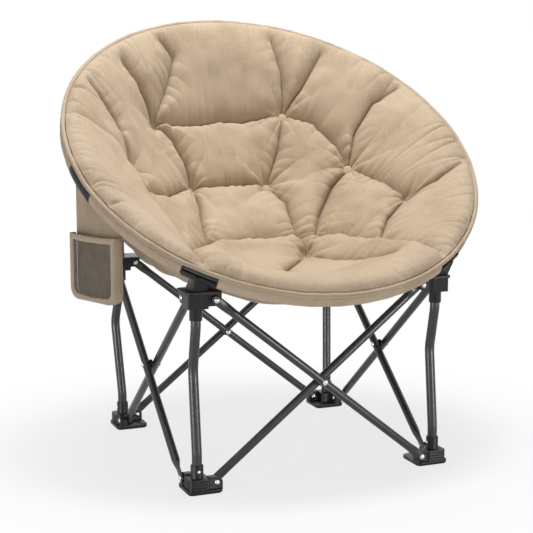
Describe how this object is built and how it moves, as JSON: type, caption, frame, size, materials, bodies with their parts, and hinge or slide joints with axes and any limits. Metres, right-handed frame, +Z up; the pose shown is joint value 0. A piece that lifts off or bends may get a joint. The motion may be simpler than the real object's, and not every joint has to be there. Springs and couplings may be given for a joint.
{
  "type": "folding saucer chair",
  "caption": "Folding saucer chair with a deep tufted round cushion on a tilted steel ring, held by corner posts joined by crossed scissor bars, with plastic hubs, feet and a side pocket.",
  "frame": {"origin": "on the floor, under the middle of the chair's bounding box", "axes": "+X to the right as seen from in front of the chair, -Y to its front, +Z up"},
  "size_m": [0.8653, 0.7074, 0.8907],
  "materials": {
    "tube_paint": "satin dark grey powder coat",
    "rivet_steel": "bright steel",
    "black_plastic": "fine satin grain",
    "cover_plastic": "fine satin grain",
    "rubber": "matte",
    "cushion_cloth": "soft brushed beige cloth",
    "sling_cloth": "plain woven beige cloth",
    "trim_cloth": "folded cloth tape",
    "net": "open knitted net"
  },
  "bodies": {
    "frame_fl": {"foot_fl": "black_plastic", "pad_fl": "rubber", "post_fl": "tube_paint", "foot_rivets_fl": "rivet_steel"},
    "bar_front_a": {"bar_front_a": "tube_paint", "cross_rivet_front": "rivet_steel", "spacer_front": "cover_plastic"},
    "bar_front_b": {"bar_front_b": "tube_paint"},
    "frame_fr": {"foot_fr": "black_plastic", "pad_fr": "rubber", "post_fr": "tube_paint", "foot_rivets_fr": "rivet_steel"},
    "hub_fr": {"hub_fr": "black_plastic", "hub_rivets_fr": "rivet_steel", "clip_fr": "black_plastic"},
    "hub_fl": {"hub_fl": "black_plastic", "hub_rivets_fl": "rivet_steel", "clip_fl": "black_plastic"},
    "bar_left_b": {"bar_left_b": "tube_paint", "cross_rivet_left": "rivet_steel", "spacer_left": "cover_plastic"},
    "bar_left_a": {"bar_left_a": "tube_paint"},
    "frame_bl": {"foot_bl": "black_plastic", "pad_bl": "rubber", "post_bl": "tube_paint", "foot_rivets_bl": "rivet_steel", "clip_bl": "black_plastic"},
    "hub_bl": {"hub_bl": "black_plastic", "hub_rivets_bl": "rivet_steel"},
    "bar_right_a": {"bar_right_a": "tube_paint", "cross_rivet_right": "rivet_steel", "spacer_right": "cover_plastic"},
    "bar_right_b": {"bar_right_b": "tube_paint"},
    "frame_br": {"foot_br": "black_plastic", "pad_br": "rubber", "post_br": "tube_paint", "foot_rivets_br": "rivet_steel", "clip_br": "black_plastic"},
    "hub_br": {"hub_br": "black_plastic", "hub_rivets_br": "rivet_steel"},
    "bar_rear_b": {"bar_rear_b": "tube_paint", "cross_rivet_rear": "rivet_steel", "spacer_rear": "cover_plastic"},
    "bar_rear_a": {"bar_rear_a": "tube_paint"},
    "seat": {"ring_front": "tube_paint", "ring_rear": "tube_paint", "joint_cover_left": "cover_plastic", "joint_cover_right": "cover_plastic", "ring_sleeve": "sling_cloth", "sling": "sling_cloth", "cushion": "cushion_cloth", "buttons": "cushion_cloth", "piping": "trim_cloth", "pocket_back": "sling_cloth", "pocket_net": "net", "pocket_binding": "trim_cloth"}
  },
  "joints": [
    {"name": "fold", "type": "hinge", "parent": "frame_fl", "child": "bar_front_a", "pos_m": [-0.216, -0.2395, 0.019], "axis": [0, -1, 0], "range_deg": [0, 48], "deforming": ["ring_front", "ring_rear", "joint_cover_left", "joint_cover_right", "ring_sleeve", "sling", "cushion", "buttons", "piping", "pocket_back", "pocket_net", "pocket_binding"]},
    {"name": "front_cross", "type": "hinge", "parent": "bar_front_a", "child": "bar_front_b", "pos_m": [0, -0.2395, 0.1915], "axis": [0, -1, 0], "range_deg": [-96, 0]},
    {"name": "front_foot_right", "type": "hinge", "parent": "bar_front_b", "child": "frame_fr", "pos_m": [0.216, -0.2395, 0.019], "axis": [0, -1, 0], "range_deg": [0, 48]},
    {"name": "front_hub_right", "type": "hinge", "parent": "bar_front_a", "child": "hub_fr", "pos_m": [0.216, -0.2395, 0.364], "axis": [0, -1, 0], "range_deg": [-48, 0]},
    {"name": "front_hub_left", "type": "hinge", "parent": "bar_front_b", "child": "hub_fl", "pos_m": [-0.216, -0.2395, 0.364], "axis": [0, -1, 0], "range_deg": [0, 48]},
    {"name": "left_foot_front", "type": "hinge", "parent": "frame_fl", "child": "bar_left_b", "pos_m": [-0.2595, -0.196, 0.019], "axis": [1, 0, 0], "range_deg": [0, 48]},
    {"name": "left_cross", "type": "hinge", "parent": "bar_left_b", "child": "bar_left_a", "pos_m": [-0.2595, 0.02, 0.1915], "axis": [1, 0, 0], "range_deg": [-96, 0]},
    {"name": "left_foot_rear", "type": "hinge", "parent": "bar_left_a", "child": "frame_bl", "pos_m": [-0.2595, 0.236, 0.019], "axis": [1, 0, 0], "range_deg": [0, 48]},
    {"name": "left_hub_rear", "type": "hinge", "parent": "bar_left_b", "child": "hub_bl", "pos_m": [-0.2595, 0.236, 0.364], "axis": [1, 0, 0], "range_deg": [-48, 0]},
    {"name": "right_foot_front", "type": "hinge", "parent": "frame_fr", "child": "bar_right_a", "pos_m": [0.2595, -0.196, 0.019], "axis": [1, 0, 0], "range_deg": [0, 48]},
    {"name": "right_cross", "type": "hinge", "parent": "bar_right_a", "child": "bar_right_b", "pos_m": [0.2595, 0.02, 0.1915], "axis": [1, 0, 0], "range_deg": [-96, 0]},
    {"name": "right_foot_rear", "type": "hinge", "parent": "bar_right_b", "child": "frame_br", "pos_m": [0.2595, 0.236, 0.019], "axis": [1, 0, 0], "range_deg": [0, 48]},
    {"name": "right_hub_rear", "type": "hinge", "parent": "bar_right_a", "child": "hub_br", "pos_m": [0.2595, 0.236, 0.364], "axis": [1, 0, 0], "range_deg": [-48, 0]},
    {"name": "rear_foot_left", "type": "hinge", "parent": "frame_bl", "child": "bar_rear_b", "pos_m": [-0.216, 0.2795, 0.019], "axis": [0, -1, 0], "range_deg": [0, 48]},
    {"name": "rear_cross", "type": "hinge", "parent": "bar_rear_b", "child": "bar_rear_a", "pos_m": [0, 0.2795, 0.1915], "axis": [0, -1, 0], "range_deg": [-96, 0]},
    {"name": "seat_gather", "type": "slide", "parent": "hub_fl", "child": "seat", "axis": [0, -0.87, 0.493], "range_m": [0, 0.1726]}
  ],
  "couplings": [
    {"joint": "front_cross", "follows": "fold", "ratio": -2},
    {"joint": "front_foot_right", "follows": "fold", "ratio": 1},
    {"joint": "front_hub_right", "follows": "fold", "ratio": -1},
    {"joint": "front_hub_left", "follows": "fold", "ratio": 1},
    {"joint": "left_foot_front", "follows": "fold", "ratio": 1},
    {"joint": "left_cross", "follows": "fold", "ratio": -2},
    {"joint": "left_foot_rear", "follows": "fold", "ratio": 1},
    {"joint": "left_hub_rear", "follows": "fold", "ratio": -1},
    {"joint": "right_foot_front", "follows": "fold", "ratio": 1},
    {"joint": "right_cross", "follows": "fold", "ratio": -2},
    {"joint": "right_foot_rear", "follows": "fold", "ratio": 1},
    {"joint": "right_hub_rear", "follows": "fold", "ratio": -1},
    {"joint": "rear_foot_left", "follows": "fold", "ratio": 1},
    {"joint": "rear_cross", "follows": "fold", "ratio": -2},
    {"joint": "seat_gather", "follows": "fold", "m_per_rad": 0.2058}
  ]
}
